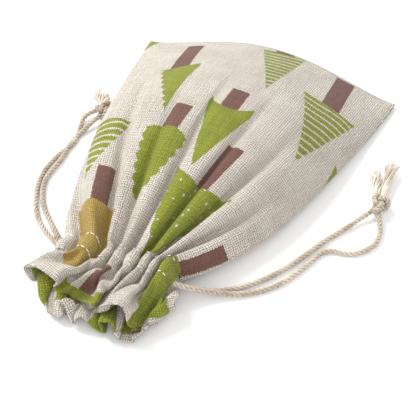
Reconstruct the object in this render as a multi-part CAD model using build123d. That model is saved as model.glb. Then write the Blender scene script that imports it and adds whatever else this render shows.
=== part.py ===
from build123d import *
import math
import os

# Drawstring gift pouch lying on its back with its neck drawn up, in millimetres.
# +Z is up.  X runs across the pouch, +Y points to its closed bottom, -Y to its mouth.
# The origin is on the rest surface, under the centre of the pouch's outline.

# ---- driving dimensions ----
POUCH_WIDTH = 130.0          # finished width of the flat pouch
POUCH_LENGTH = 180.0         # closed bottom to mouth edge
HEADER_LENGTH = 27.0         # ruffle above the casing
CASING_LENGTH = 9.0          # between the two rows of stitching
GATHERED_WIDTH = 45.4        # width of the neck once it is drawn up
CLOTH = 1.2                  # panel with its seam allowance, as a solid wall
CORD_DIAMETER = 2.2
THREAD_RADIUS = 0.22
STITCH_LENGTH = 2.0
STITCH_PITCH = 2.8
DRAW_TRAVEL = 10.0           # how far each drawstring can still be pulled out

BOTTOM_Y = POUCH_LENGTH / 2
MOUTH_Y = -POUCH_LENGTH / 2
CASING_MOUTH_Y = MOUTH_Y + HEADER_LENGTH
CASING_BODY_Y = CASING_MOUTH_Y + CASING_LENGTH
CASING_MID_Y = (CASING_MOUTH_Y + CASING_BODY_Y) / 2
NECK_HALF = GATHERED_WIDTH / 2
CORD_RADIUS = CORD_DIAMETER / 2

# Layers of the gathered neck, from the rest surface up.
BACK_FLOOR_Z = 0.6
BACK_CHANNEL_Z = 3.6
FRONT_CHANNEL_Z = 12.6
CHANNEL_HEIGHT = 3.4
CHANNEL_WIDTH = 7.0
NECK_GAP_LOW = 5.9
NECK_GAP_HIGH = 10.3
NECK_GAP_HALF = 17.5
SIDE_SPLIT_Z = 7.9
FOOT_DEPTH = 1.0             # sections start this far under the rest surface and are cut flat
RIGHT_LANE_Y = CASING_MID_Y + 1.5    # the two drawstrings lie side by side in the casing
LEFT_LANE_Y = CASING_MID_Y - 1.5

# Stations along the pouch: y, centre x, half width, height of the side, height of the crown.
BODY_STATIONS = [
    (BOTTOM_Y, 0.0, POUCH_WIDTH / 2, 1.8, 13.0),
    (56.0, 0.0, 59.5, 1.9, 17.0),
    (20.0, 0.3, 52.5, 2.2, 20.0),
    (-12.0, -0.2, 44.5, 3.2, 21.0),
    (-36.0, -0.5, 35.5, 7.0, 20.0),
    (CASING_BODY_Y, -0.7, NECK_HALF, 15.0, 18.6),
]
NECK_STATION = BODY_STATIONS[-1][1:]
HEADER_STATIONS = [
    (CASING_MOUTH_Y,) + NECK_STATION,
    (-76.0, -4.0, 27.0, 13.0, 22.0),
    (MOUTH_Y, -7.0, 30.5, 12.0, 24.0),
]


def section(y, centre_x, half_width, side_height, crown_height, inset=0.0):
    """Round-topped cross-section of the pouch, drawn in by inset, with its foot below the surface."""
    plane = Plane(origin=(centre_x, y, 0), x_dir=(1, 0, 0), z_dir=(0, -1, 0))
    half = half_width - inset
    left_foot = (-half, -FOOT_DEPTH)
    right_foot = (half, -FOOT_DEPTH)
    right_shoulder = (half, side_height)
    left_shoulder = (-half, side_height)
    crown = (0, crown_height - inset)
    outline = [
        Line(left_foot, right_foot),
        Line(right_foot, right_shoulder),
        ThreePointArc(right_shoulder, crown, left_shoulder),
        Line(left_shoulder, left_foot),
    ]
    return plane * make_face(outline)


def slab(low, high):
    """Block between two opposite corners."""
    size = [b - a for a, b in zip(low, high)]
    centre = [(a + b) / 2 for a, b in zip(low, high)]
    return Pos(*centre) * Box(*size)


def above(height):
    return slab((-100, -120, height), (100, 120, 60))


def below(height):
    return slab((-100, -120, -5), (100, 120, height))


def hollow(stations, inner_stations):
    """Arched wall and flat floor lofted through the stations, open at the inner stations' ends."""
    outer = loft([section(*station) for station in stations])
    inner = loft([section(*station, inset=CLOTH) for station in inner_stations])
    wall = (outer - inner) & above(CLOTH)
    floor = outer & below(CLOTH) & above(0)
    return wall, floor


def make_body():
    """Front panel arched over the flat back panel, sewn along both sides and the bottom."""
    first = (BOTTOM_Y - CLOTH,) + BODY_STATIONS[0][1:]
    return hollow(BODY_STATIONS, [first] + BODY_STATIONS[1:])


def make_casing():
    """Front and back halves of the gathered neck: a channel in each, open at both sides."""
    stations = [(y,) + NECK_STATION for y in (CASING_MOUTH_Y, CASING_BODY_Y)]
    neck = loft([section(*station) for station in stations])
    reach = NECK_HALF + 5
    gap = slab((-NECK_GAP_HALF, CASING_MOUTH_Y - 1, NECK_GAP_LOW),
               (NECK_GAP_HALF, CASING_BODY_Y + 1, NECK_GAP_HIGH))
    neck = neck - gap
    for height in (BACK_CHANNEL_Z, FRONT_CHANNEL_Z):
        neck = neck - Pos(0, CASING_MID_Y, height) * Box(2 * reach, CHANNEL_WIDTH, CHANNEL_HEIGHT)
    slot_height = FRONT_CHANNEL_Z - BACK_CHANNEL_Z
    slot_middle = (FRONT_CHANNEL_Z + BACK_CHANNEL_Z) / 2
    for side in (-1, 1):
        slot = Box(2 * (reach - NECK_GAP_HALF), CHANNEL_WIDTH, slot_height)
        neck = neck - Pos(side * reach, CASING_MID_Y, slot_middle) * slot
    return neck & above(SIDE_SPLIT_Z), neck & below(SIDE_SPLIT_Z) & above(BACK_FLOOR_Z)


def make_header():
    """Front and back halves of the ruffle between the casing and the mouth."""
    wall, floor = hollow(HEADER_STATIONS, HEADER_STATIONS)
    return wall & above(SIDE_SPLIT_Z), (wall & below(SIDE_SPLIT_Z)) + floor


def crown_z(x):
    """Height of the neck's rounded top at x."""
    centre_x, half, side, crown = NECK_STATION
    rise = crown - side
    radius = (half ** 2 + rise ** 2) / (2 * rise)
    return crown - radius + math.sqrt(radius ** 2 - (x - centre_x) ** 2)


def stitch_row(y, height_at):
    """One row of running stitches across the neck, each stitch a short rod of thread."""
    centre_x = NECK_STATION[0]
    count = int((GATHERED_WIDTH - 6) / STITCH_PITCH)
    stitches = []
    for index in range(count + 1):
        x = centre_x + (index - count / 2) * STITCH_PITCH
        rod = Cylinder(THREAD_RADIUS, STITCH_LENGTH, rotation=(0, 90, 0))
        stitches.append(Pos(x, y, height_at(x)) * rod)
    return Compound(children=stitches)


def seam_thread(points):
    """Line of lockstitch thread inside a seam, as one rod that follows the seam."""
    path = Polyline(*points)
    start = Plane(origin=path @ 0, z_dir=path % 0)
    return sweep(start * Circle(THREAD_RADIUS), path=path, transition=Transition.RIGHT)


def side_seam(side):
    inward = CLOTH + 1.0
    height = CLOTH + THREAD_RADIUS
    points = [(BODY_STATIONS[0][1] + side * (POUCH_WIDTH / 2 - inward - 0.6), BOTTOM_Y - 3.0, height)]
    for y, centre_x, half, _, _ in BODY_STATIONS[1:-1]:
        points.append((centre_x + side * (half - inward), y, height))
    points.append((NECK_STATION[0] + side * (NECK_HALF - inward), CASING_BODY_Y + 1.0, height))
    return seam_thread(points)


def corner_radii(route):
    """Radius for each inner point: 0.45 of the shorter run over the tangent of half the turn."""
    radii = []
    for before, here, after in zip(route, route[1:], route[2:]):
        run_in = Vector(*here) - Vector(*before)
        run_out = Vector(*after) - Vector(*here)
        half_turn = math.radians(run_in.get_angle(run_out) / 2)
        radii.append(0.45 * min(run_in.length, run_out.length) / math.tan(half_turn))
    return radii


def cord_tube(name, route):
    """Round cord along straight runs joined by tangent arcs."""
    radii = corner_radii(route)
    path = FilletPolyline(*route, radius=radii)
    start = Plane(origin=path @ 0, z_dir=path % 0)
    tube = sweep(start * Circle(CORD_RADIUS), path=path)
    expected = math.pi * CORD_RADIUS ** 2 * path.length
    print(f"{name}: length {path.length:.1f} mm, tightest arc {min(radii):.1f} mm, "
          f"volume {tube.volume:.1f} of {expected:.1f} mm3")
    return tube


def casing_loop(name, side, lane_y):
    """Part of a drawstring that stays in the casing: in one channel, round the far side, back."""
    start_x = side * (NECK_HALF - DRAW_TRAVEL - 1.8)
    turn_x = -side * NECK_GAP_HALF
    bend = (FRONT_CHANNEL_Z - BACK_CHANNEL_Z) / 2
    top = Line((start_x, lane_y, FRONT_CHANNEL_Z), (turn_x, lane_y, FRONT_CHANNEL_Z))
    middle = (turn_x - side * bend, lane_y, FRONT_CHANNEL_Z - bend)
    turn = ThreePointArc((turn_x, lane_y, FRONT_CHANNEL_Z), middle, (turn_x, lane_y, BACK_CHANNEL_Z))
    back = Line((turn_x, lane_y, BACK_CHANNEL_Z), (start_x, lane_y, BACK_CHANNEL_Z))
    path = Wire([top, turn, back])
    start = Plane(origin=path @ 0, z_dir=path % 0)
    print(f"{name}: length {path.length:.1f} mm, arc {bend:.1f} mm")
    return sweep(start * Circle(CORD_RADIUS), path=path)


STUB = NECK_HALF - DRAW_TRAVEL - 1.5     # inner end of a strand in the casing, clear of its loop
REST_Z = CORD_RADIUS + 0.1               # axis of a cord that lies on the rest surface

# Hand-laid routes of the four free strands, from inside the casing to the knot.
LEFT_FRONT_ROUTE = [
    (-STUB, LEFT_LANE_Y, FRONT_CHANNEL_Z), (-27.5, LEFT_LANE_Y - 0.3, 12.4), (-38.5, -53.0, 1.8),
    (-50.5, -43.0, REST_Z), (-59.2, -28.5, REST_Z), (-62.2, -12.5, REST_Z), (-61.6, 1.5, REST_Z),
    (-64.8, 12.5, REST_Z), (-66.0, 20.5, 2.2), (-60.6, 24.6, 3.6),
]
LEFT_BACK_ROUTE = [
    (-STUB, LEFT_LANE_Y, BACK_CHANNEL_Z), (-26.6, LEFT_LANE_Y + 0.2, 3.4), (-37.6, -48.5, REST_Z),
    (-50.8, -36.8, REST_Z), (-58.4, -22.5, REST_Z), (-58.6, -8.0, REST_Z), (-59.2, 5.0, REST_Z),
    (-61.4, 14.5, 1.5), (-58.8, 22.3, 3.4),
]
RIGHT_FRONT_ROUTE = [
    (STUB, RIGHT_LANE_Y, FRONT_CHANNEL_Z), (26.2, RIGHT_LANE_Y + 0.2, 12.4), (35.6, -51.5, 4.0),
    (44.8, -46.0, REST_Z), (55.0, -36.8, REST_Z), (60.0, -23.5, REST_Z), (65.2, -10.0, REST_Z),
    (75.6, -9.8, REST_Z), (83.6, -1.0, REST_Z), (82.6, 9.5, 1.5), (78.2, 16.5, 3.2),
]
RIGHT_BACK_ROUTE = [
    (STUB, RIGHT_LANE_Y, BACK_CHANNEL_Z), (26.2, RIGHT_LANE_Y - 0.2, 3.4), (38.2, -48.2, REST_Z),
    (50.0, -35.5, REST_Z), (57.2, -21.5, REST_Z), (62.0, -8.5, REST_Z), (70.5, 6.5, REST_Z),
    (76.8, 17.5, 3.4),
]


def knot(centre, length, width, height, heading):
    """Overhand knot tied in both strands, as a plain rounded lump."""
    lump = Sphere(0.5)
    lump = scale(lump, by=(length, width, height))
    return Pos(*centre) * Rot(0, 0, heading) * lump


def frayed_end(start, end, start_radius, end_radius):
    """Unlaid strands fanning out of a knot, as a cone that widens to its cut ends."""
    axis = Vector(*end) - Vector(*start)
    place = Plane(origin=start, z_dir=axis)
    cone = Cone(start_radius, end_radius, axis.length, align=(Align.CENTER, Align.CENTER, Align.MIN))
    return place * cone


front_panel, back_panel = make_body()
front_casing, back_casing = make_casing()
front_header, back_header = make_header()

nodes = {
    "front_panel": front_panel,
    "back_panel": back_panel,
    "front_casing": front_casing,
    "back_casing": back_casing,
    "front_header": front_header,
    "back_header": back_header,
    "left_side_seam_thread": side_seam(-1),
    "right_side_seam_thread": side_seam(1),
    "bottom_seam_thread": seam_thread([
        (-POUCH_WIDTH / 2 + 4.5, BOTTOM_Y - CLOTH - 0.9, CLOTH + THREAD_RADIUS),
        (POUCH_WIDTH / 2 - 4.5, BOTTOM_Y - CLOTH - 0.9, CLOTH + THREAD_RADIUS)]),
    "left_drawstring_front_strand": cord_tube("left front strand", LEFT_FRONT_ROUTE),
    "left_drawstring_back_strand": cord_tube("left back strand", LEFT_BACK_ROUTE),
    "left_drawstring_casing_loop": casing_loop("left casing loop", -1, LEFT_LANE_Y),
    "left_knot": knot((-58.4, 25.6, 4.0), 8.4, 9.4, 7.6, 20),
    "left_frayed_end": frayed_end((-60.0, 29.2, 3.4), (-65.0, 38.6, 4.2), 2.4, 4.0),
    "right_drawstring_front_strand": cord_tube("right front strand", RIGHT_FRONT_ROUTE),
    "right_drawstring_back_strand": cord_tube("right back strand", RIGHT_BACK_ROUTE),
    "right_drawstring_casing_loop": casing_loop("right casing loop", 1, RIGHT_LANE_Y),
    "right_knot": knot((77.7, 20.9, 4.0), 8.0, 11.6, 7.4, 12),
    "right_frayed_end_inner": frayed_end((74.6, 26.0, 3.2), (69.4, 41.6, 2.9), 1.3, 2.7),
    "right_frayed_end_outer": frayed_end((77.7, 26.4, 3.4), (75.8, 50.6, 3.2), 1.3, 3.0),
}
for label, row_y in (("body", CASING_BODY_Y - 0.5), ("mouth", CASING_MOUTH_Y + 0.5)):
    nodes[f"front_{label}_stitch_row"] = stitch_row(row_y, lambda x: crown_z(x) + THREAD_RADIUS / 2)
    nodes[f"back_{label}_stitch_row"] = stitch_row(row_y, lambda x: BACK_FLOOR_Z - THREAD_RADIUS / 2)

os.makedirs("parts", exist_ok=True)
for name, shape in nodes.items():
    export_step(shape, f"parts/{name}.step")
print(len(nodes), "nodes")
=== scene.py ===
# %% [markdown]
# # A drawstring gift pouch, built piece by piece
# A flat cotton and linen bag lies on its back panel. Two cords run through a stitched channel near its mouth
# and gather the cloth into a ruffle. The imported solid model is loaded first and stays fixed: it says where
# every part is, and each soft piece made here stands in for its own solid.

# %% load the frame
import math
import random

import bmesh
import bpy
import numpy as np
from mathutils import Matrix, Quaternion, Vector


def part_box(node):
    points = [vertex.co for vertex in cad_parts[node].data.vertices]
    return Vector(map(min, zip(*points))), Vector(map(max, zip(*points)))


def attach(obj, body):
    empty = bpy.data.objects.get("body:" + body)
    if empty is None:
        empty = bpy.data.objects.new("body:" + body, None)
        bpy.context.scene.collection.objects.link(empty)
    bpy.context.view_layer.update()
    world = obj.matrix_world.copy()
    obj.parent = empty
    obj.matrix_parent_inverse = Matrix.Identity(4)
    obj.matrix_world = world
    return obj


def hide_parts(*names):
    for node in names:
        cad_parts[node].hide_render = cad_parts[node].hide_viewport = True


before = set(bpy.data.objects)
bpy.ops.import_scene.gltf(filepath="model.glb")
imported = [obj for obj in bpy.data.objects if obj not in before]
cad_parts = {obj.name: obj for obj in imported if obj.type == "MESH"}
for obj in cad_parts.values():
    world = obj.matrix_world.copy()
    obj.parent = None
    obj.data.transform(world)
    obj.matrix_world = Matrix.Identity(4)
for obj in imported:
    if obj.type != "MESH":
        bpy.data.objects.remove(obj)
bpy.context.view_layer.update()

# %% [markdown]
# ## Sizes
# Everything is in metres. The panels are 130 mm wide, and 178 mm from the bottom seam to the folded mouth.
# The drawstring channel lies between two rows of stitching, 146 and 154 mm from the bottom seam.

# %% sizes
MM = 0.001
PANEL_WIDTH = 130 * MM
PANEL_LENGTH = 178 * MM
CHANNEL_LOW = 146 * MM
CHANNEL_HIGH = 154 * MM
BOTTOM_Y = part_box("back_panel")[1].y


def millimetres(*points):
    """Points written in millimetres, as vectors in metres."""
    return [Vector(p) * MM for p in points]


def show(name, mesh):
    """Puts a mesh in the scene as a piece of that name."""
    piece = bpy.data.objects.new(name, mesh)
    bpy.context.scene.collection.objects.link(piece)
    return piece


# %% [markdown]
# ## Camera
# The pouch is seen from above its right front corner, with a long lens, so that its far edge stays nearly as
# large as its mouth. The camera looks at a point on the table a little in front of the middle of the bag.

# %% camera
CAMERA_AZIMUTH = math.radians(25.0)
CAMERA_ELEVATION = math.radians(45.5)
CAMERA_DISTANCE = 378.3 * MM
LOOK_AT = Vector((12.45, -8.45, 0)) * MM

back_to_camera = Vector((
    math.sin(CAMERA_AZIMUTH) * math.cos(CAMERA_ELEVATION),
    -math.cos(CAMERA_AZIMUTH) * math.cos(CAMERA_ELEVATION),
    math.sin(CAMERA_ELEVATION),
))
lens = bpy.data.cameras.new("studio_camera")
lens.lens = 77.88
lens.sensor_width = 36
lens.clip_start = 0.01
camera = bpy.data.objects.new("studio_camera", lens)
camera.location = LOOK_AT + back_to_camera * CAMERA_DISTANCE
camera.rotation_euler = back_to_camera.to_track_quat("Z", "Y").to_euler()
bpy.context.scene.collection.objects.link(camera)
bpy.context.scene.camera = camera
print("camera at, mm:", [round(c / MM) for c in camera.location])

# %% [markdown]
# ## Nodes for the finishes
# Each finish is a small node tree. These helpers add a node, join or fill its inputs, and give its output, so
# that a finish reads like a recipe.

# %% node helpers


def node(tree, kind, settings=None, out=0, **inputs):
    """Adds a node, sets its properties and its inputs by name or place, and gives one of its outputs."""
    made = tree.nodes.new("ShaderNode" + kind)
    for key, value in (settings or {}).items():
        setattr(made, key, value)
    for key, value in inputs.items():
        place = int(key[1:]) if key[0] == "i" and key[1:].isdigit() else key.replace("_", " ")
        if isinstance(value, bpy.types.NodeSocket):
            tree.links.new(value, made.inputs[place])
        else:
            made.inputs[place].default_value = value
    return made.outputs[out]


def maths(tree, operation, a, b=0.0, c=0.0):
    """One Math node."""
    return node(tree, "Math", {"operation": operation}, i0=a, i1=b, i2=c)


def step(tree, value, low, high):
    """0 below low, 1 above high, smooth between."""
    smooth = {"interpolation_type": "SMOOTHSTEP"}
    return node(tree, "MapRange", smooth, i0=value, i1=low, i2=high, i3=0.0, i4=1.0)


def mix(tree, share, first, second):
    """A colour between two, by share."""
    settings = {"data_type": "RGBA", "clamp_factor": True}
    return node(tree, "Mix", settings, out=2, i0=share, i6=first, i7=second)


def new_finish(name):
    """An empty material with its Principled shader. Gives the material, its tree and the shader."""
    material = bpy.data.materials.new(name)
    material.use_nodes = True
    return material, material.node_tree, material.node_tree.nodes["Principled BSDF"]


def from_srgb(r, g, b):
    """A colour as a screen shows it, 0 to 255, in the linear numbers that shaders take."""
    return tuple(((c / 255 + 0.055) / 1.055) ** 2.4 for c in (r, g, b)) + (1.0,)


# %% [markdown]
# ## Cord and thread finishes
# The cords are undyed cotton: matt, with fine fibres along each strand and a darker cotton colour mixed in
# by noise, in fine and broad random patches. The curve that makes a strand gives it a UV map along its
# length, so the fibres can follow it.

# %% cord finish


def cotton_finish(name, light, dark, fibre_scale):
    """Matt cotton with fibres along the piece and slow changes of shade."""
    material, tree, shader = new_finish(name)
    place = node(tree, "TexCoord", out=3)
    along = node(tree, "UVMap", {"uv_map": "UVMap"})
    stretched = node(tree, "Mapping", Vector=along, Scale=(9.0, 260.0, 1.0))
    fibres = node(tree, "TexNoise", Vector=stretched, Scale=1.0, Detail=3.0)
    fuzz = node(tree, "TexNoise", Vector=place, Scale=fibre_scale, Detail=4.0)
    patches = node(tree, "TexNoise", Vector=place, Scale=90.0, Detail=2.0)
    shade = maths(tree, "ADD", maths(tree, "MULTIPLY", fuzz, 0.6), maths(tree, "MULTIPLY", patches, 0.4))
    tree.links.new(mix(tree, step(tree, shade, 0.34, 0.62), dark, light), shader.inputs["Base Color"])
    height = maths(tree, "ADD", fibres, fuzz)
    bump = node(tree, "Bump", Strength=0.55, Distance=0.00018, Height=height)
    tree.links.new(bump, shader.inputs["Normal"])
    shader.inputs["Roughness"].default_value = 0.88
    shader.inputs["Sheen Weight"].default_value = 0.25
    shader.inputs["Specular IOR Level"].default_value = 0.2
    return material


cord_finish = cotton_finish("cotton_cord", from_srgb(222, 211, 195), from_srgb(160, 143, 122), 2600.0)
yarn_finish = cotton_finish("frayed_cotton", from_srgb(238, 230, 216), from_srgb(196, 182, 160), 2200.0)
thread_finish = cotton_finish("sewing_thread", from_srgb(246, 244, 236), from_srgb(214, 208, 194), 4000.0)

# %% [markdown]
# ## The drawstrings
# Each drawstring is one 2.2 mm cotton cord, laid of three strands. Its two ends leave the channel on one
# side, lie on the table in loose curves, and end in a shared overhand knot. A route is a few listed
# points, and a smooth NURBS line guided by them gives the way that the cord lies.

# %% routes
ROUTES = {
    "left_drawstring_front_strand": millimetres(
        (-11.2, -60.0, 8.6), (-25.0, -58.4, 8.2), (-33.5, -53.4, 2.0), (-41.5, -50.2, 1.2),
        (-51.6, -42.0, 1.2), (-59.6, -28.5, 1.2), (-62.6, -12.5, 1.2), (-58.6, 1.5, 1.2),
        (-61.6, 11.5, 1.2), (-64.6, 21.5, 2.2), (-58.9, 25.2, 3.6)),
    "left_drawstring_back_strand": millimetres(
        (-11.2, -60.0, 6.4), (-25.5, -58.6, 5.6), (-33.6, -51.5, 1.4), (-41.4, -45.2, 1.2),
        (-51.4, -36.8, 1.2), (-58.8, -24.0, 1.2), (-58.4, -9.0, 1.2), (-60.8, 3.0, 1.2),
        (-59.2, 13.5, 1.5), (-56.9, 22.3, 3.4)),
    "right_drawstring_front_strand": millimetres(
        (11.2, -57.0, 8.6), (24.0, -57.6, 8.0), (33.6, -51.4, 3.4), (44.4, -46.6, 1.2), (55.0, -37.2, 1.2),
        (61.2, -23.5, 1.2), (65.2, -10.0, 1.2), (75.6, -9.8, 1.2), (83.0, -1.0, 1.2), (82.6, 9.5, 1.5),
        (78.2, 16.5, 3.2)),
    "right_drawstring_back_strand": millimetres(
        (11.2, -57.0, 6.4), (23.6, -55.4, 5.6), (34.2, -50.4, 1.3), (47.6, -38.6, 1.2), (56.4, -24.0, 1.2),
        (62.6, -8.5, 1.2), (70.5, 6.5, 1.2), (76.8, 17.5, 3.4)),
}


def smooth_line(points, closed=False):
    """The points of a NURBS line that has these as its control points."""
    curve = bpy.data.curves.new("line", "CURVE")
    curve.dimensions = "3D"
    curve.resolution_u = 16
    spline = curve.splines.new("NURBS")
    spline.points.add(len(points) - 1)
    for knot, place in zip(spline.points, points):
        knot.co = (*place, 1.0)
    spline.order_u = 3
    spline.use_cyclic_u = closed
    spline.use_endpoint_u = not closed
    holder = bpy.data.objects.new("line", curve)
    mesh = bpy.data.meshes.new_from_object(holder)
    line = [v.co.copy() for v in mesh.vertices]
    bpy.data.objects.remove(holder)
    return line


def line_length(line):
    return sum((b - a).length for a, b in zip(line, line[1:]))


def evenly(line, count):
    """The same line as count + 1 evenly spaced points."""
    coords = np.array(line)
    reach = np.r_[0, np.cumsum(np.linalg.norm(np.diff(coords, axis=0), axis=1))]
    marks = np.linspace(0, reach[-1], count + 1)
    return [Vector(p) for p in np.stack([np.interp(marks, reach, coords[:, k]) for k in range(3)], 1)]


lines = {name: smooth_line(points) for name, points in ROUTES.items()}
for name, line in lines.items():
    print(name, "is", round(line_length(line) / MM, 1), "mm long")

# %% [markdown]
# ## Three strands laid together
# A rope's look comes from its lay: three strands wind round one line, one full turn every 6 mm. Each strand
# is a thin tube on a helix, which is what the real one is, so the grooves between strands are true geometry.

# %% rope strands
STRANDS = 3
STRAND_RADIUS = 0.50 * MM
HELIX_RADIUS = 0.68 * MM
LAY = 6.0 * MM


def tube(line, radius, closed=False, sides=2, ends=None):
    """A round tube along a line, as a mesh. ends gives each point's share of the radius."""
    curve = bpy.data.curves.new("tube", "CURVE")
    curve.dimensions = "3D"
    curve.bevel_depth = radius
    curve.bevel_resolution = sides
    curve.use_fill_caps = True
    spline = curve.splines.new("POLY")
    spline.points.add(len(line) - 1)
    spline.use_cyclic_u = closed
    for k, (knot, place) in enumerate(zip(spline.points, line)):
        knot.co = (*place, 1.0)
        knot.radius = ends[k] if ends else 1.0
    holder = bpy.data.objects.new("tube", curve)
    mesh = bpy.data.meshes.new_from_object(holder)
    bpy.data.objects.remove(holder)
    return mesh


def wound(line, radius, lay, start):
    """A line that winds round another at that radius."""
    turned = []
    heading = (line[1] - line[0]).normalized()
    side = heading.orthogonal().normalized()
    reach = 0.0
    for k, place in enumerate(line):
        before = line[max(k - 1, 0)]
        after = line[min(k + 1, len(line) - 1)]
        now = (after - before).normalized()
        side.rotate(heading.rotation_difference(now))
        side = (side - now * side.dot(now)).normalized()
        heading = now
        reach += (place - before).length
        angle = start + math.tau * reach / lay
        turned.append(place + Quaternion(now, angle) @ side * radius)
    return turned


def joined(name, meshes, finish):
    """Several meshes as one piece, with their UV maps."""
    whole = bmesh.new()
    for mesh in meshes:
        whole.from_mesh(mesh)
    merged = bpy.data.meshes.new(name)
    whole.to_mesh(merged)
    whole.free()
    merged.polygons.foreach_set("use_smooth", [True] * len(merged.polygons))
    merged.materials.append(finish)
    return show(name, merged)


def rope(name, line, step_length=0.45 * MM):
    """Three strands wound round a line."""
    even = evenly(line, round(line_length(line) / step_length))
    strands = [wound(even, HELIX_RADIUS, LAY, math.tau * k / STRANDS) for k in range(STRANDS)]
    return joined(name, [tube(strand, STRAND_RADIUS) for strand in strands], cord_finish), even


for name, line in lines.items():
    piece, path = rope(name + "_rope", line)
    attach(piece, "left_drawstring" if name.startswith("left") else "right_drawstring")
    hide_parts(name)
    print(piece.name, "has", len(piece.data.polygons), "faces")

# %% [markdown]
# ## Knots
# Both ends of a drawstring are tied together in one overhand knot. An overhand knot is a trefoil, so each
# knot is a trefoil line that fills the space of its solid, with two ropes side by side along it. A knot is
# pulled tight, so its strands lie a little fatter and closer than in the free cord.

# %% knots
TREFOIL_POINTS = 160
KNOT_ROOM = 1.15 * MM
KNOT_GROWTH = ((0.98, 0.0), (0.72, 0.55))


def trefoil(middle, half, turn, tilt):
    """A closed overhand-knot line about a point, with that half size."""
    line = []
    for k in range(TREFOIL_POINTS):
        a = math.tau * k / TREFOIL_POINTS
        x = (math.sin(a) + 2 * math.sin(2 * a)) / 2.65
        y = (math.cos(a) - 2 * math.cos(2 * a)) / 2.75
        spin = Matrix.Rotation(turn, 3, "Z") @ Matrix.Rotation(tilt, 3, "X")
        place = spin @ Vector((x, y, -math.sin(3 * a) * 0.85))
        line.append(middle + Vector((place.x * half.x, place.y * half.y, place.z * half.z)))
    return line


def knot(node_name, turn, tilt, side, aside=0.0):
    """An overhand knot as large as the box of its solid, and that far to one side of it."""
    low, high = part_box(node_name)
    middle = (low + high) / 2 + Vector((aside, 0, 0))
    half = (high - low) / 2 - Vector((1, 1, 1)) * KNOT_ROOM
    meshes = []
    for cord_number, (grow, further) in enumerate(KNOT_GROWTH):
        line = trefoil(middle, half * grow, turn + further, tilt)
        line.append(line[0])
        for k in range(STRANDS):
            strand = wound(line, HELIX_RADIUS * 1.02, LAY * 0.86, math.tau * k / STRANDS + cord_number)
            meshes.append(tube(strand, STRAND_RADIUS * 1.04))
    piece = joined(node_name + "_ropes", meshes, cord_finish)
    low_z = min(v.co.z for v in piece.data.vertices)
    if low_z < 0:
        piece.data.transform(Matrix.Translation((0, 0, -low_z)))
    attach(piece, side)
    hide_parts(node_name)
    print(piece.name, "measures, mm:", [round(d / MM, 1) for d in piece.dimensions])
    return piece


left_knot = knot("left_knot", 0.5, 0.25, "left_drawstring", 1.8 * MM)
right_knot = knot("right_knot", -0.3, 0.35, "right_drawstring")

# %% [markdown]
# ## Frayed ends
# Past the knot the cord comes apart into its yarns. Each yarn is a thin tapered tube: it starts in the knot,
# still turns with the lay for a while, then bends out of the bundle by its own amount.

# %% frayed ends
YARN_RADIUS = 0.27 * MM
YARN_POINTS = 13
YARN_TAPER = 0.65
UNTWIST = 2.6


def frayed_end(name, node_name, start, end, narrow, wide, yarns, seed, side):
    """A tuft of yarns from one point to another, from a narrow to a wide bundle."""
    rng = random.Random(seed)
    axis = end - start
    across = axis.cross(Vector((0, 0, 1))).normalized()
    above = across.cross(axis).normalized()
    meshes = []
    for k in range(yarns):
        angle = rng.uniform(0, math.tau)
        reach = math.sqrt(rng.uniform(0.05, 1))
        long = rng.uniform(0.78, 1.04)
        bend = rng.uniform(-0.5, 0.5)
        line = []
        for n in range(YARN_POINTS):
            f = n / (YARN_POINTS - 1)
            open_ = f * f * (3 - 2 * f)
            radius = reach * (narrow + (wide - narrow) * open_)
            turned = angle + UNTWIST * (1 - f)
            flat = 0.62 if f > 0.4 else 0.8
            place = start + axis * f * long
            place += across * radius * (math.cos(turned) + bend * open_)
            place += above * radius * math.sin(turned) * flat
            place += across * math.sin(f * 7 + k) * 0.22 * MM * f
            place.z = max(place.z, 0.35 * MM)
            line.append(place)
        yarn = smooth_line(line)
        last = len(yarn) - 1
        taper = [1 - YARN_TAPER * (n / last) ** 3 for n in range(last + 1)]
        meshes.append(tube(yarn, YARN_RADIUS, sides=0, ends=taper))
    piece = joined(name, meshes, yarn_finish)
    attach(piece, side)
    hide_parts(node_name)
    print(name, "has", yarns, "yarns and", len(piece.data.polygons), "faces")
    return piece


left_tuft = frayed_end(
    "left_frayed_yarns", "left_frayed_end",
    *millimetres((-57.6, 27.6, 3.8), (-65.2, 37.6, 4.2)), 1.6 * MM, 4.8 * MM, 50, 3, "left_drawstring")
right_inner_tuft = frayed_end(
    "right_inner_frayed_yarns", "right_frayed_end_inner",
    *millimetres((75.2, 25.0, 3.4), (69.6, 41.2, 2.9)), 1.2 * MM, 2.9 * MM, 34, 5, "right_drawstring")
right_outer_tuft = frayed_end(
    "right_outer_frayed_yarns", "right_frayed_end_outer",
    *millimetres((77.7, 25.4, 3.4), (75.9, 50.2, 3.1)), 1.2 * MM, 3.1 * MM, 36, 8, "right_drawstring")

# %% [markdown]

# %% [markdown]
# ## The cloth, flat
# A real pouch is two flat panels sewn along both sides and the bottom, so the model starts that way too: two
# grids laid one on the other, with their side and bottom edges merged. Above the channel the panels are open,
# which makes the mouth. Each vertex keeps its place on the flat cloth, across and down, in two layers: these
# guide the gathering, and later become the UV map that the print and the weave follow.

# %% flat panels
GRID_ACROSS = 65
GRID_DOWN = 89
LOW_ROW = round(CHANNEL_LOW / PANEL_LENGTH * GRID_DOWN)
HIGH_ROW = round(CHANNEL_HIGH / PANEL_LENGTH * GRID_DOWN)
FRONT, BACK = 0, 1


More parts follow.
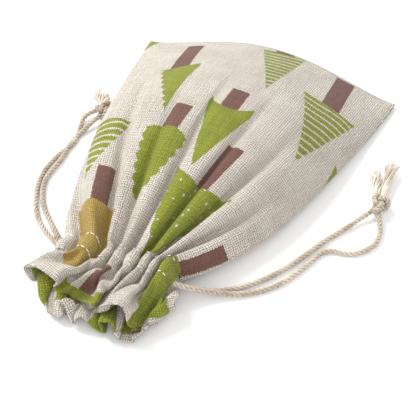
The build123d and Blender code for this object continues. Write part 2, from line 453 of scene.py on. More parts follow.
def flat_pouch():
    """Both panels, sewn, as a bmesh. The face's material index says which panel it is."""
    cloth = bmesh.new()
    across = cloth.verts.layers.float.new("across")
    down = cloth.verts.layers.float.new("down")
    panel = cloth.verts.layers.int.new("panel")
    for side in (FRONT, BACK):
        made = bmesh.ops.create_grid(cloth, x_segments=GRID_ACROSS, y_segments=GRID_DOWN, size=0.5)["verts"]
        for v in made:
            s = v.co.x + 0.5
            t = 0.5 - v.co.y
            v[across], v[down], v[panel] = s, t, side
            row = round(t * GRID_DOWN)
            sewn = row == 0 or (row < LOW_ROW and round(s * GRID_ACROSS) in (0, GRID_ACROSS))
            crown = 4 * MM * math.sqrt(max(0, math.sin(math.pi * s))) * min(1, t * PANEL_LENGTH / (20 * MM))
            lift = 0 if sewn else (crown + 0.6 * MM if side == FRONT else 0.4 * MM - 0.3 * crown)
            v.co = ((s - 0.5) * PANEL_WIDTH, BOTTOM_Y - t * PANEL_LENGTH, 3 * MM + lift)
        for face in {f for v in made for f in v.link_faces}:
            face.material_index = side
            if side == BACK:
                face.normal_flip()
    edge = [v for v in cloth.verts if abs(v.co.z - 3 * MM) < 1e-6]
    bmesh.ops.remove_doubles(cloth, verts=edge, dist=1e-5)
    return cloth


pouch_flat = flat_pouch()
print("flat pouch:", len(pouch_flat.verts), "vertices,", len(pouch_flat.faces), "faces")

# %% [markdown]
# ## Where the cords pull the cloth
# Pulling the cords slides the channel along them, so a 130 mm wide panel ends up folded into 50 mm. The two
# rows of stitching are led into those folds. Each fold has its own width and depth, and the fold depths are
# scaled until the folded line is exactly as long as the panel is wide, because cloth doesn't stretch.

# %% folded lines
FRONT_FOLDS = (
    (8.0, 3.5), (11.0, 8.6), (4.5, 6.6), (5.7, 6.8), (6.0, 7.2), (4.0, 7.6), (3.5, 6.6), (7.0, 8.4))
BACK_FOLDS = (
    (6.5, 6.0), (5.0, 6.0), (7.0, 6.4), (5.0, 6.4), (6.5, 6.4), (5.5, 6.0), (7.0, 6.0), (7.5, 6.0))
POINTS_IN_A_FOLD = 60


def folds(widths_and_depths, left, valley, depth_share):
    """A folded line seen from its end: fold after fold, each leaning a little over its foot."""
    line = []
    x = left
    for width, depth in widths_and_depths:
        for k in range(POINTS_IN_A_FOLD):
            u = k / POINTS_IN_A_FOLD
            sway = 0.85 * math.sin(4 * math.pi * u) / (4 * math.pi)
            rise = 0.5 * depth * depth_share * (1 - math.cos(math.tau * u))
            line.append(Vector((x + width * (u + sway), 0, valley + rise)) * MM)
        x += width
    line.append(Vector((x, 0, valley)) * MM)
    return line


def folded(widths_and_depths, left, valley):
    """The folded line whose length is the panel's width, as evenly spaced points."""
    shallow, deep = 0.2, 3.0
    for _ in range(30):
        share = (shallow + deep) / 2
        if line_length(folds(widths_and_depths, left, valley, share)) < PANEL_WIDTH:
            shallow = share
        else:
            deep = share
    return evenly(folds(widths_and_depths, left, valley, share), GRID_ACROSS)


channel = {FRONT: folded(FRONT_FOLDS, -29.0, 8.6), BACK: folded(BACK_FOLDS, -28.5, 0.9)}
print("gathered width, mm:", [round((line[-1] - line[0]).length / MM, 1) for line in channel.values()])

# %% [markdown]
# ## The mouth and the seams
# Above the channel the cloth is free and opens into a ruffle. Its edge is led along a given line that
# rolls up, tucks under and comes back, once for each fold below it. The side seams and the bottom seam are
# led too, loosely, so the cords' pull shows as the pouch narrows.

# %% guiding lines
FRONT_MOUTH = millimetres(
    (-29.0, -75.5, 3.5), (-32.0, -76.5, 3.0), (-35.0, -74.0, 9.0), (-30.5, -74.6, 13.0), (-23.0, -77.6, 15.0),
    (-15.0, -80.0, 15.0), (-18.5, -79.5, 8.5), (-17.0, -79.3, 6.0), (-15.5, -78.2, 8.0), (-12.0, -78.0, 5.0),
    (-5.0, -78.8, 9.5), (1.0, -81.6, 13.0), (-1.0, -81.0, 7.5), (-6.0, -79.8, 4.6), (-3.7, -81.2, 3.2),
    (0.4, -80.6, 6.0), (2.6, -81.6, 13.0), (9.0, -82.6, 18.0), (12.6, -81.6, 18.6), (14.4, -81.5, 13.0),
    (15.4, -81.2, 5.0), (18.2, -79.6, 2.0), (20.0, -75.0, 3.0))
BACK_MOUTH = millimetres(
    (-28.3, -74.0, 6.5), (-26.4, -78.6, 3.0), (-18.4, -85.1, 1.5), (-10.6, -87.9, 1.2), (-11.1, -84.7, 5.0),
    (-14.6, -82.4, 8.0), (-10.9, -83.4, 6.0), (-6.6, -87.6, 2.0), (-4.3, -87.6, 2.2), (-4.3, -85.8, 6.0),
    (-2.1, -85.0, 5.0), (3.7, -87.2, 1.5), (8.2, -88.0, 1.5), (7.1, -87.2, 7.0), (4.6, -85.6, 8.4),
    (11.0, -86.6, 8.0), (11.2, -88.8, 3.0), (15.8, -88.5, 1.2), (18.8, -85.6, 2.0), (18.9, -84.2, 6.0),
    (20.4, -79.9, 5.0), (21.2, -70.0, 3.0), (22.6, -62.5, 2.0))
LEFT_SEAM = millimetres(
    (-64.5, 86.6, 1.6), (-57.6, 57.0, 3), (-49.2, 30, 4), (-44.2, 8, 5), (-40.2, -12, 6), (-35.2, -30, 7.4),
    (-29.6, -47, 8), (-28.0, -55.2, 8))
RIGHT_SEAM = millimetres(
    (64.5, 89.6, 1.6), (66.4, 77, 2.0), (64.0, 61, 2.4), (58.4, 36, 3), (51.4, 6, 3.6), (46.2, -16, 4.2),
    (39.3, -35, 5.4), (31.0, -48, 7), (22.0, -53.0, 8.6))


def through(points):
    """A smooth line that passes through every point."""
    line = []
    for k in range(len(points) - 1):
        before = points[max(k - 1, 0)]
        here, there = points[k], points[k + 1]
        after = points[min(k + 2, len(points) - 1)]
        for n in range(12):
            f = n / 12
            slope = (there - before) * f
            bend = (2 * before - 5 * here + 4 * there - after) * f * f
            ease = (3 * here - before - 3 * there + after) * f ** 3
            line.append(0.5 * (2 * here + slope + bend + ease))
    line.append(points[-1])
    return line


mouth = {FRONT: evenly(through(FRONT_MOUTH), GRID_ACROSS), BACK: evenly(through(BACK_MOUTH), GRID_ACROSS)}
seams = {0: evenly(through(LEFT_SEAM), LOW_ROW), GRID_ACROSS: evenly(through(RIGHT_SEAM), LOW_ROW)}
print("mouth edges, mm:", [round(line_length(line) / MM, 1) for line in mouth.values()])

# %% [markdown]
# ## Gathering the cloth by simulation
# The flat cloth is led from flat to gathered over 45 frames while a little air inside keeps the panels apart,
# then it settles. Cloth of this size is hard to simulate at real size, so it is simulated 20 times larger and
# scaled back. The air acts on the body of the pouch only: the ruffle is open, so nothing can blow it up.

# %% gather
SIMULATION_SCALE = 20
LED_FRAMES = 45
LAST_FRAME = 70
AIR_WHILE_LED = 82.0
AIR_AT_REST = 38.0
CHANNEL_ENDS = {FRONT: ((-55.2, -51.8), (-62.2, -60.0)), BACK: ((-57.0, -54.0), (-64.5, -61.8))}


def gathered_places(cloth):
    """For each led vertex: where it goes, and how strongly it is held."""
    across = cloth.verts.layers.float["across"]
    down = cloth.verts.layers.float["down"]
    panel = cloth.verts.layers.int["panel"]
    places = {}
    for v in cloth.verts:
        i = round(v[across] * GRID_ACROSS)
        j = round(v[down] * GRID_DOWN)
        side = v[panel]
        share = i / GRID_ACROSS
        if j == 0:
            rise = math.sin(math.pi * min(1, max(0, (share - 0.02) / 0.96))) ** 1.3
            seam = Vector((-64.5 + 129 * share, 86.6 + 3 * share + 3.5 * rise, 1.5 + 11.5 * rise)) * MM
            places[v.index] = (seam, 1)
        elif j == GRID_DOWN:
            places[v.index] = (mouth[side][i], 0.9)
        elif j in (LOW_ROW, HIGH_ROW):
            left, right = CHANNEL_ENDS[side][j == HIGH_ROW]
            places[v.index] = (channel[side][i] + Vector((0, left + (right - left) * share, 0)) * MM, 1)
        elif j < LOW_ROW and i in seams:
            places[v.index] = (seams[i][j], 0.75)
    return places


def air_share(t):
    """How strongly the air pushes at that distance from the bottom seam, 0 to 1."""
    row = round(t * GRID_DOWN)
    near_mouth = min(1, max(0, (LOW_ROW - 2 - row) / 8))
    near_bottom = min(1, 0.1 + 0.9 * max(0, (t * PANEL_LENGTH - 12 * MM) / (50 * MM)))
    return near_mouth * near_bottom


def settle(cloth):
    """Simulates the gathering and gives each vertex's place, in metres."""
    cloth.verts.index_update()
    mesh = bpy.data.meshes.new("gathering")
    cloth.to_mesh(mesh)
    mesh.transform(Matrix.Scale(SIMULATION_SCALE, 4))
    trial = show("gathering", mesh)
    held = trial.vertex_groups.new(name="held")
    air = trial.vertex_groups.new(name="air")
    down = cloth.verts.layers.float["down"]
    trial.shape_key_add(name="flat")
    drawn = trial.shape_key_add(name="drawn")
    for index, (place, strength) in gathered_places(cloth).items():
        held.add([index], strength, "REPLACE")
        drawn.data[index].co = place * SIMULATION_SCALE
    for v in cloth.verts:
        air.add([v.index], air_share(v[down]), "REPLACE")
    for value, at in ((0, 1), (1, LED_FRAMES)):
        drawn.value = value
        drawn.keyframe_insert("value", frame=at)
    for curve in mesh.shape_keys.animation_data.action.fcurves:
        for point in curve.keyframe_points:
            point.interpolation = "LINEAR"
    bpy.ops.mesh.primitive_plane_add(size=40)
    table = bpy.context.object
    table.modifiers.new("table", "COLLISION")
    table.collision.thickness_outer = 0.02
    table.collision.cloth_friction = 5
    modifier = trial.modifiers.new("cloth", "CLOTH")
    fabric = modifier.settings
    fabric.quality = 6
    fabric.mass = 0.05
    fabric.effector_weights.gravity = 0.3
    fabric.air_damping = 1.5
    fabric.tension_stiffness = 80
    fabric.compression_stiffness = 80
    fabric.shear_stiffness = 16
    fabric.bending_stiffness = 3.0
    fabric.tension_damping = 8
    fabric.compression_damping = 8
    fabric.shear_damping = 5
    fabric.bending_damping = 0.5
    fabric.bending_model = "ANGULAR"
    fabric.vertex_group_mass = "held"
    fabric.pin_stiffness = 1
    fabric.use_pressure = True
    fabric.vertex_group_pressure = "air"
    for pressure, at in ((AIR_WHILE_LED, 1), (AIR_WHILE_LED, LED_FRAMES), (AIR_AT_REST, LED_FRAMES + 12)):
        fabric.uniform_pressure_force = pressure
        fabric.keyframe_insert("uniform_pressure_force", frame=at)
    contact = modifier.collision_settings
    contact.use_self_collision = True
    contact.self_distance_min = 0.014
    contact.distance_min = 0.012
    contact.self_friction = 3
    contact.collision_quality = 3
    modifier.point_cache.frame_end = LAST_FRAME
    scene = bpy.context.scene
    scene.frame_start = 1
    scene.frame_end = LAST_FRAME
    for at in range(1, LAST_FRAME + 1):
        scene.frame_set(at)
    still = trial.evaluated_get(bpy.context.evaluated_depsgraph_get()).to_mesh()
    places = [v.co / SIMULATION_SCALE for v in still.vertices]
    scene.frame_set(1)
    for extra in (trial, table):
        bpy.data.objects.remove(extra)
    return places


settled = settle(pouch_flat)
print("gathered pouch is", round(max(p.z for p in settled) / MM, 1), "mm high")

# %% [markdown]
# ## Two panels from one gathered pouch
# The gathered shape is split back into its front and back panel, because they are two pieces of cloth.
# Between the stitch rows the channel is padded by the cord inside, so there the cloth is pushed out a little.
# The hem is turned in down to the channel, which makes everything above it two cloths thick: a vertex group
# tells the Solidify modifier where. One level of subdivision then rounds the folds.

# %% panel meshes
CLOTH_THICKNESS = 0.6 * MM
HEM_THICKNESS = 1.2 * MM
CHANNEL_PUFF = 0.9 * MM


def gathered_panel(side):
    """One panel as a bmesh, in its gathered place, and its vertices by grid place."""
    cloth = pouch_flat.copy()
    cloth.verts.ensure_lookup_table()
    for v, place in zip(cloth.verts, settled):
        v.co = place
    other = [f for f in cloth.faces if f.material_index != side]
    bmesh.ops.delete(cloth, geom=other, context="FACES")
    across = cloth.verts.layers.float["across"]
    down = cloth.verts.layers.float["down"]
    uv = cloth.loops.layers.uv.new("cloth")
    for face in cloth.faces:
        face.material_index = 0
        face.smooth = True
        for loop in face.loops:
            loop[uv].uv = (loop.vert[across], loop.vert[down])
    cloth.normal_update()
    grid = {(round(v[across] * GRID_ACROSS), round(v[down] * GRID_DOWN)): v for v in cloth.verts}
    for (i, j), v in grid.items():
        if LOW_ROW < j < HIGH_ROW:
            v.co += v.normal * CHANNEL_PUFF * math.sin(math.pi * (j - LOW_ROW) / (HIGH_ROW - LOW_ROW))
        v.co.z = max(v.co.z, 0.75 * MM)
    return cloth, grid


def cloth_piece(name, cloth, grid):
    """The panel as a piece with its thickness."""
    mesh = bpy.data.meshes.new(name)
    cloth.to_mesh(mesh)
    piece = show(name, mesh)
    hem = piece.vertex_groups.new(name="hem")
    down = cloth.verts.layers.float["down"]
    for v in cloth.verts:
        hem.add([v.index], min(1, max(0, v[down] * GRID_DOWN - LOW_ROW + 1.5)), "REPLACE")
    wall = piece.modifiers.new("wall", "SOLIDIFY")
    wall.thickness = HEM_THICKNESS
    wall.offset = -1
    wall.vertex_group = "hem"
    wall.thickness_vertex_group = CLOTH_THICKNESS / HEM_THICKNESS
    wall.material_offset = 1
    rounded = piece.modifiers.new("rounded", "SUBSURF")
    rounded.levels = 1
    rounded.render_levels = 1
    return piece


panels = {}
for side, name in ((FRONT, "front_cloth"), (BACK, "back_cloth")):
    cloth, grid = gathered_panel(side)
    cloth.verts.index_update()
    piece = cloth_piece(name, cloth, grid)
    part = name.split("_")[0]
    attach(piece, "pouch")
    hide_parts(part + "_panel", part + "_casing", part + "_header")
    panels[side] = (piece, cloth, grid)
    area = sum(f.calc_area() for f in cloth.faces)
    print(name, "area is", round(area / (PANEL_WIDTH * PANEL_LENGTH), 2), "of its flat area")

# %% [markdown]
# ## Stitches
# A machine stitch is a short bar of thread that dips into the cloth at both ends. Each is a small sphere made
# long and thin, laid along the fold of the cloth and turned to face outwards.

# %% stitches
STITCH_LENGTH = 1.9 * MM
STITCH_GAP = 0.5 * MM


def stitches(name, node_name, line, normals, lift, half_width=0.21 * MM):
    """Stitches along a line of the cloth."""
    reach = np.r_[0, np.cumsum([(b - a).length for a, b in zip(line, line[1:])])]
    coords = np.array(line)
    facing = np.array(normals)
    rows = bmesh.new()

    def at(marks, values):
        return Vector([np.interp(marks, reach, values[:, k]) for k in range(3)])

    start = STITCH_GAP
    while start + STITCH_LENGTH < reach[-1]:
        first, last = at(start, coords), at(start + STITCH_LENGTH, coords)
        middle = start + STITCH_LENGTH / 2
        out = at(middle, facing).normalized()
        along = (last - first).normalized()
        out = (out - along * out.dot(along)).normalized()
        turn = Matrix((along, out.cross(along), out)).transposed().to_4x4()
        size = Matrix.Diagonal(((last - first).length / 2 + 0.15 * MM, half_width, half_width, 1))
        place = Matrix.Translation(at(middle, coords) + out * lift)
        bmesh.ops.create_uvsphere(rows, u_segments=6, v_segments=5, radius=1, matrix=place @ turn @ size)
        start += STITCH_LENGTH + STITCH_GAP
    mesh = bpy.data.meshes.new(name)
    for face in rows.faces:
        face.smooth = True
    count = len(rows.faces)
    rows.loops.layers.uv.new("UVMap")
    rows.to_mesh(mesh)
    rows.free()
    mesh.materials.append(thread_finish)
    piece = show(name, mesh)
    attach(piece, "pouch")
    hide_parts(node_name)
    print(name, "has", count, "faces")
    return piece


for side, part in ((FRONT, "front"), (BACK, "back")):
    grid = panels[side][2]
    for row, which in ((LOW_ROW, "body"), (HIGH_ROW, "mouth")):
        knots = [grid[i, row] for i in range(GRID_ACROSS + 1)]
        stitches(f"{part}_{which}_stitches", f"{part}_{which}_stitch_row",
                 [v.co.copy() for v in knots], [v.normal.copy() for v in knots], 0.1 * MM)

# %% [markdown]
# The side seams and the bottom seam are sewn inside out and turned, so their thread is inside the pouch, a
# few millimetres from the edge and between the two panels.

# %% inner seams
SEAM_IN = 1


def between(i, j):
    """The point between the two panels at a grid place."""
    return (panels[FRONT][2][i, j].co + panels[BACK][2][i, j].co) / 2


up = Vector((0, 0, 1))
inner_lines = {
    "left_side_seam": [between(SEAM_IN, j) for j in range(1, LOW_ROW)],
    "right_side_seam": [between(GRID_ACROSS - SEAM_IN, j) for j in range(1, LOW_ROW)],
    "bottom_seam": [between(i, SEAM_IN) for i in range(1, GRID_ACROSS)],
}
for name, line in inner_lines.items():
    stitches(name + "_stitches", name + "_thread", line, [up] * len(line), 0, 0.2 * MM)

# %% [markdown]
# ## The cords inside the channel
# Inside the channel each drawstring goes right round and comes back to its own side. That stretch stays with
# the pouch. It is hidden by the cloth, and it is the same rope.

# %% hidden loops
HIDDEN = {
    "left_drawstring_casing_loop": millimetres(
        (-10.2, -60.0, 8.8), (6.0, -60.0, 8.6), (15.0, -60.0, 8.6), (18.5, -60.0, 7.6), (15.0, -60.0, 6.4),
        (6.0, -60.0, 6.4), (-10.2, -60.0, 6.4)),
    "right_drawstring_casing_loop": millimetres(
        (10.2, -57.0, 8.8), (-6.0, -57.0, 8.6), (-17.0, -57.0, 8.6), (-20.5, -57.0, 7.6), (-17.0, -57.0, 6.4),
        (-6.0, -57.0, 6.4), (10.2, -57.0, 6.4)),
}
for name, points in HIDDEN.items():
    loop, path = rope(name + "_rope", smooth_line(points), 0.9 * MM)
    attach(loop, "pouch")
    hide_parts(name)

# %% [markdown]
# ## The print
# The cloth is printed with simple trees: a body that narrows to a tip, a trunk at its foot, and no outline.
# Some have bands or flecks left unprinted, and some have a scalloped edge. One node group draws any of them
# from a few numbers, in millimetres of flat cloth, so that the print bends and folds with the cloth.

# %% one printed tree
BAND_PITCH = 3.9


def tree_drawing():
    """A node group that gives how far a place on the cloth is inside a tree's body and its trunk."""
    group = bpy.data.node_groups.new("printed_tree", "ShaderNodeTree")
    for name in ("Cloth", "Foot"):
        group.interface.new_socket(name, in_out="INPUT", socket_type="NodeSocketVector")
    for name in ("Turn", "Half", "Tall", "Blunt", "Dip", "Left tooth", "Right tooth", "Pitch", "Bands",
                 "Flecks", "Trunk half", "Trunk long", "Slant", "Ragged", "Fleck drawing"):
        group.interface.new_socket(name, in_out="INPUT", socket_type="NodeSocketFloat")
    for name in ("Body", "Trunk"):
        group.interface.new_socket(name, in_out="OUTPUT", socket_type="NodeSocketFloat")
    given = group.nodes.new("NodeGroupInput").outputs
    result = group.nodes.new("NodeGroupOutput").inputs
    turned = node(group, "VectorRotate", {"rotation_type": "Z_AXIS"}, Vector=given["Cloth"],
                  Center=given["Foot"], Angle=given["Turn"])
    local = node(group, "VectorMath", {"operation": "SUBTRACT"}, i0=turned, i1=given["Foot"])
    apart = group.nodes.new("ShaderNodeSeparateXYZ")
    group.links.new(local, apart.inputs[0])
    x, y = apart.outputs[0], apart.outputs[1]
    up_share = maths(group, "DIVIDE", y, given["Tall"])
    left_over = maths(group, "MINIMUM", maths(group, "SUBTRACT", 1.0, up_share), 1.0)
    narrowing = maths(group, "POWER", maths(group, "MAXIMUM", left_over, 0.0), given["Blunt"])
    width = maths(group, "MULTIPLY", given["Half"], narrowing)
    wave = maths(group, "ABSOLUTE", maths(group, "SINE", maths(group, "DIVIDE", maths(
        group, "MULTIPLY", y, math.pi), given["Pitch"])))
    on_left = maths(group, "LESS_THAN", x, 0.0)
    tooth = maths(group, "ADD", maths(group, "MULTIPLY", on_left, given["Left tooth"]), maths(
        group, "MULTIPLY", maths(group, "SUBTRACT", 1.0, on_left), given["Right tooth"]))
    notch = maths(group, "MULTIPLY", tooth, maths(group, "SUBTRACT", 1.0, wave))
    width = maths(group, "SUBTRACT", width, notch)
    side = maths(group, "ABSOLUTE", x)
    share = maths(group, "DIVIDE", side, given["Half"])
    floor_line = maths(group, "MULTIPLY", given["Dip"], maths(group, "POWER", share, 2.0))
    above_foot = maths(group, "ADD", maths(group, "ADD", y, floor_line), maths(
        group, "MULTIPLY", x, given["Slant"]))
    inside = maths(group, "MINIMUM", maths(group, "SUBTRACT", width, side), above_foot)
    inside = maths(group, "MINIMUM", inside, maths(group, "SUBTRACT", given["Tall"], y))
    body = step(group, maths(group, "ADD", inside, given["Ragged"]), -0.12, 0.16)
    ripple = maths(group, "MULTIPLY", maths(group, "SINE", maths(group, "MULTIPLY", x, 0.21)), 0.8)
    wavy = maths(group, "ADD", y, ripple)
    band = maths(group, "SINE", maths(group, "MULTIPLY", wavy, math.tau / BAND_PITCH))
    band = step(group, maths(group, "ADD", band, given["Ragged"]), -0.8, -0.4)
    kept = maths(group, "SUBTRACT", 1.0, maths(group, "MULTIPLY", given["Bands"], maths(
        group, "SUBTRACT", 1.0, band)))
    specks = maths(group, "SUBTRACT", 1.0, maths(group, "MULTIPLY", given["Flecks"], given["Fleck drawing"]))
    body = maths(group, "MULTIPLY", body, maths(group, "MULTIPLY", kept, specks))
    trunk = maths(group, "MINIMUM", maths(group, "SUBTRACT", given["Trunk half"], side), maths(
        group, "ADD", y, given["Trunk long"]))
    trunk = maths(group, "MINIMUM", trunk, maths(group, "SUBTRACT", 0.4, inside))
    trunk = maths(group, "MINIMUM", trunk, maths(group, "SUBTRACT", 2.0, y))
    trunk = step(group, maths(group, "ADD", trunk, given["Ragged"]), -0.12, 0.16)
    group.links.new(body, result["Body"])
    group.links.new(trunk, result["Trunk"])
    return group


printed_tree = tree_drawing()
print("the tree drawing has", len(printed_tree.nodes), "nodes")

# %% [markdown]
# Each tree is placed one by one: its foot from the middle and from the bottom seam, its turn, half its width,
# its height, how blunt its tip is, how far its foot corners hang, the scallops of its left and right edge and
# their pitch, whether it has bands or flecks, half the width and the length of its trunk, and the slant of
# its foot.

# %% the trees on the cloth
PLAIN, BANDED, FLECKED = (0, 0), (1, 0), (0, 1)
GREEN_TREES = (
    # foot, turn, half, tall, blunt, dip, left and right tooth, pitch, pattern, trunk half and long, slant
    ((-27.5, 46), 12, 9.0, 37, 1.0, 1.0, 1.5, 0.0, 4.4, PLAIN, 4.0, 38, 0.45),
    ((8, 3), 9, 10.5, 47, 1.0, 0.0, 0.0, 0.0, 5.0, BANDED, 4.5, 2, 0.0),
    ((42.5, 33), 5, 13.8, 43, 1.0, 0.5, 0.0, 0.0, 5.0, BANDED, 4.6, 31, 0.0),
    ((8, 71.5), 1, 10.5, 33, 0.9, 5.0, 0.0, 0.0, 5.0, PLAIN, 4.0, 14, 0.0),
    ((-13, 89), -6, 11.8, 35, 0.42, -4.5, 1.3, 1.3, 5.0, PLAIN, 4.4, 13, 0.0),
    ((20.5, 111), -5, 20.5, 47, 0.75, 4.0, 1.2, 1.2, 7.0, FLECKED, 4.8, 23, 0.0),
    ((-46.0, 85), -8, 11.0, 33, 1.0, 0.0, 0.0, 0.0, 5.0, BANDED, 0.0, 0, 0.0),
    ((61.0, 143), 0, 18.0, 60, 0.6, 0.0, 0.8, 0.8, 6.0, PLAIN, 3.3, 19, 0.0),
    ((-10, 173), 0, 17.0, 42, 0.9, 2.0, 0.0, 0.0, 5.0, PLAIN, 3.4, 16, 0.0),
    ((-44, 182), 0, 18.0, 50, 0.6, 2.0, 1.0, 1.0, 5.0, PLAIN, 4.2, 2, 0.0),
    ((27, 186), 0, 15.0, 50, 0.6, 2.0, 1.0, 1.0, 5.0, PLAIN, 4.2, 4, 0.0),
    ((70, 57), 0, 8.6, 22, 0.8, 1.0, 0.0, 0.0, 5.0, PLAIN, 0.0, 0, 0.0),
    ((-64, 0), 0, 5.5, 15, 0.9, 1.0, 0.0, 0.0, 5.0, PLAIN, 0.0, 0, 0.0),
)
OCHRE_TREES = (
    ((-40.6, 129), 0, 16.4, 37, 0.42, -1.6, 0.0, 0.0, 5.0, PLAIN, 4.2, 17, 0.0),
)

# %% [markdown]
# ## The weave
# The cloth is a plain weave: each thread goes over one thread and under the next. Seen close, that is a
# checker of short bars, upright where the warp is on top and level where the weft is. Slubs, the thick and
# thin places of linen yarn, widen some threads and change their shade. The ink sits on the tops of the
# threads, so the print is paler in the gaps. The gaps are also painted darker, as painted shade between
# the threads.

# %% printed cloth finish
THREAD_PITCH = 0.92
LINEN = from_srgb(231, 223, 212)
LINEN_SHADE = from_srgb(193, 183, 170)
GREEN_INK = from_srgb(154, 163, 42)
GREEN_DEEP = from_srgb(118, 129, 26)
BROWN_INK = from_srgb(132, 90, 80)
BROWN_DEEP = from_srgb(104, 68, 60)
OCHRE_INK = from_srgb(196, 168, 86)
OCHRE_DEEP = from_srgb(166, 138, 62)
MIRROR_LENGTH = 2 * PANEL_LENGTH / MM
HEM_LINE = 147.0
LEAST_COVER = 0.78
# Painted shade in the gaps between the threads: how strongly it darkens, and the dark colour it darkens
# towards.
GAP_PAINTED_SHADE_SHARE = 0.9
GAP_PAINTED_SHADE_COLOUR = (0.07, 0.06, 0.045, 1.0)


def weave(tree, place):
    """Height of the weave, 0 to 1, and the slow shade of its threads, from a place in millimetres."""
    wander = node(tree, "TexNoise", out=1, Vector=place, Scale=0.45, Detail=3.0)
    shift = node(tree, "VectorMath", {"operation": "SCALE"}, i0=wander, Scale=1.5)
    moved = node(tree, "VectorMath", {"operation": "ADD"}, i0=place, i1=shift)
    turns = node(tree, "VectorMath", {"operation": "SCALE"}, i0=moved, Scale=math.pi / THREAD_PITCH)
    parts = tree.nodes.new("ShaderNodeSeparateXYZ")
    tree.links.new(turns, parts.inputs[0])
    warp = maths(tree, "SINE", parts.outputs[0])
    weft = maths(tree, "SINE", parts.outputs[1])
    over = step(tree, maths(tree, "MULTIPLY", warp, weft), -0.12, 0.12)
    upright = maths(tree, "ABSOLUTE", warp)
    level = maths(tree, "ABSOLUTE", weft)
    bars = maths(tree, "ADD", maths(tree, "MULTIPLY", over, upright), maths(
        tree, "MULTIPLY", maths(tree, "SUBTRACT", 1.0, over), level))
    knuckles = maths(tree, "SQRT", maths(tree, "MULTIPLY", upright, level))
    height = maths(tree, "ADD", maths(tree, "MULTIPLY", bars, 0.45), maths(tree, "MULTIPLY", knuckles, 0.55))
    warp_slubs = node(tree, "TexNoise", Vector=node(tree, "Mapping", Vector=place, Scale=(1.25, 0.07, 1.0)),
                      Scale=1.0, Detail=2.0)
    weft_slubs = node(tree, "TexNoise", Vector=node(tree, "Mapping", Vector=place, Scale=(0.07, 1.25, 1.0)),
                      Scale=1.0, Detail=2.0)
    slubs = maths(tree, "ADD", maths(tree, "MULTIPLY", over, warp_slubs), maths(
        tree, "MULTIPLY", maths(tree, "SUBTRACT", 1.0, over), weft_slubs))
    return height, slubs


def draw_trees(tree, trees, place, ragged, flecks):
    """All of these trees together: the share of body ink and the share of trunk ink."""
    body_all, trunk_all = 0.0, 0.0
    for row in trees:
        foot, turn, half, tall, blunt, dip, left, right, pitch, pattern, trunk_half, trunk_long, slant = row
        drawn = tree.nodes.new("ShaderNodeGroup")
        drawn.node_tree = printed_tree
        values = {"Foot": (*foot, 0), "Turn": math.radians(turn), "Half": half, "Tall": tall, "Blunt": blunt,
                  "Dip": dip, "Left tooth": left, "Right tooth": right, "Pitch": pitch, "Bands": pattern[0],
                  "Flecks": pattern[1], "Trunk half": trunk_half, "Trunk long": trunk_long, "Slant": slant}
        for key, value in values.items():
            drawn.inputs[key].default_value = value
        tree.links.new(place, drawn.inputs["Cloth"])
        tree.links.new(ragged, drawn.inputs["Ragged"])
        tree.links.new(flecks, drawn.inputs["Fleck drawing"])
        body_all = maths(tree, "MAXIMUM", body_all, drawn.outputs["Body"])
        trunk_all = maths(tree, "MAXIMUM", trunk_all, drawn.outputs["Trunk"])
    return body_all, trunk_all


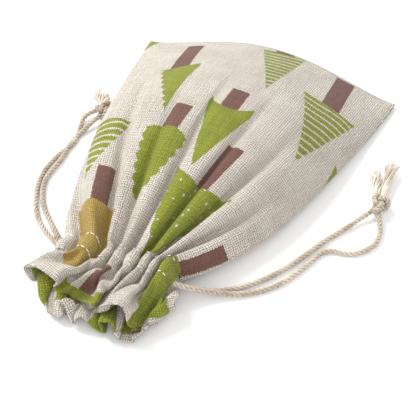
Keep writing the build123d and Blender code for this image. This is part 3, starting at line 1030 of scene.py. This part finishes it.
def cloth_finish(name, mirrored, inner):
    """Printed cloth. mirrored turns the print over for the back panel. inner is the side in the pouch."""
    material, tree, shader = new_finish(name)
    on_cloth = node(tree, "UVMap", {"uv_map": "cloth"})
    across = -PANEL_WIDTH / MM if mirrored else PANEL_WIDTH / MM
    place = node(tree, "Mapping", Vector=on_cloth, Location=(-across / 2, 0.0, 0.0),
                 Scale=(across, PANEL_LENGTH / MM, 1.0))
    printed_at = place
    shown = 1.0
    if inner:
        printed_at = node(tree, "Mapping", Vector=place, Location=(0.0, MIRROR_LENGTH, 0.0),
                          Scale=(1.0, -1.0, 1.0))
        parts = tree.nodes.new("ShaderNodeSeparateXYZ")
        tree.links.new(place, parts.inputs[0])
        shown = step(tree, parts.outputs[1], HEM_LINE - 0.3, HEM_LINE + 0.3)
    height, slubs = weave(tree, place)
    rough_edge = node(tree, "TexNoise", Vector=place, Scale=1.4, Detail=2.0)
    ragged = maths(tree, "MULTIPLY", maths(tree, "SUBTRACT", rough_edge, 0.5), 1.5)
    fleck_cells = node(tree, "Mapping", Vector=place, Scale=(0.26, 0.20, 1.0))
    distance = node(tree, "TexVoronoi", Vector=fleck_cells, Scale=1.0, Randomness=0.55)
    flecks = maths(tree, "SUBTRACT", 1.0, step(tree, distance, 0.11, 0.17))
    green, brown = draw_trees(tree, GREEN_TREES, printed_at, ragged, flecks)
    ochre, more_brown = draw_trees(tree, OCHRE_TREES, printed_at, ragged, flecks)
    brown = maths(tree, "MAXIMUM", brown, more_brown)
    worn = node(tree, "TexNoise", Vector=place, Scale=1.9, Detail=3.0)
    inked = maths(tree, "ADD", maths(tree, "MULTIPLY", height, 0.35), worn)
    cover = maths(tree, "MULTIPLY", step(tree, inked, 0.42, 0.62), 1 - LEAST_COVER)
    cover = maths(tree, "MULTIPLY", maths(tree, "ADD", cover, LEAST_COVER), shown)
    patches = node(tree, "TexNoise", Vector=place, Scale=0.06, Detail=2.0)
    tone = step(tree, maths(tree, "ADD", maths(tree, "MULTIPLY", slubs, 0.7), maths(
        tree, "MULTIPLY", patches, 0.3)), 0.28, 0.66)
    colour = mix(tree, tone, LINEN_SHADE, LINEN)
    for share, deep, ink in ((brown, BROWN_DEEP, BROWN_INK), (ochre, OCHRE_DEEP, OCHRE_INK),
                             (green, GREEN_DEEP, GREEN_INK)):
        colour = mix(tree, maths(tree, "MULTIPLY", share, cover), colour, mix(tree, tone, deep, ink))
    # Painted shade: the gaps between the threads are drawn darker, as if shaded by the threads beside them.
    gap = maths(tree, "MULTIPLY", maths(tree, "SUBTRACT", 1.0, step(tree, height, 0.2, 0.8)), GAP_PAINTED_SHADE_SHARE)
    colour = mix(tree, gap, colour, mix(tree, 0.86, colour, GAP_PAINTED_SHADE_COLOUR))
    tree.links.new(colour, shader.inputs["Base Color"])
    relief = maths(tree, "ADD", height, maths(tree, "MULTIPLY", slubs, 0.9))
    tree.links.new(node(tree, "Bump", Strength=1.0, Distance=0.00035, Height=relief), shader.inputs["Normal"])
    shader.inputs["Roughness"].default_value = 0.92
    shader.inputs["Sheen Weight"].default_value = 0.12
    shader.inputs["Specular IOR Level"].default_value = 0.15
    return material


for side, name in ((FRONT, "front"), (BACK, "back")):
    piece = panels[side][0]
    piece.data.materials.append(cloth_finish(name + "_printed_cloth", side == BACK, False))
    piece.data.materials.append(cloth_finish(name + "_cloth_inner_side", side == BACK, True))
    print(name, "finish has", len(piece.data.materials[0].node_tree.nodes), "nodes")

# %% [markdown]
# ## The cloth panels
# Each panel is one sheet, 130 mm by 178 mm when flat, gathered by the cords.

# %% [markdown]
# ## Table and light
# The pouch lies on a plain pale table. The light is broad and soft, from the left and above, with a weaker
# one from the front and a pale surround that fills the shadows.

# %% table and light
bpy.ops.mesh.primitive_plane_add(size=6)
table = bpy.context.object
table.name = "table"
table_finish, table_tree, table_shader = new_finish("pale_table")
table_place = node(table_tree, "TexCoord", out=3)
mottle = node(table_tree, "TexNoise", Vector=table_place, Scale=3.0)
table_tree.links.new(mix(table_tree, mottle, (0.93, 0.93, 0.935, 1), (0.955, 0.955, 0.955, 1)),
                     table_shader.inputs["Base Color"])
table_shader.inputs["Roughness"].default_value = 0.7
table_shader.inputs["Specular IOR Level"].default_value = 0.2
table.data.materials.append(table_finish)


def soft_light(name, place, size, power):
    """A square light that faces the pouch."""
    light = bpy.data.lights.new(name, "AREA")
    light.size = size
    light.energy = power
    holder = bpy.data.objects.new(name, light)
    holder.location = place
    holder.rotation_euler = Vector(place).to_track_quat("Z", "Y").to_euler()
    bpy.context.scene.collection.objects.link(holder)


soft_light("window", (-0.72, 0.18, 0.72), 0.5, 11.2)
soft_light("fill", (0.35, -0.65, 0.75), 0.9, 4.0)
surround = bpy.data.worlds.new("pale_surround")
bpy.context.scene.world = surround
surround.use_nodes = True
surround.node_tree.nodes["Background"].inputs["Color"].default_value = (1, 1, 1, 1)
surround.node_tree.nodes["Background"].inputs["Strength"].default_value = 0.8
bpy.context.scene.view_settings.view_transform = "Standard"
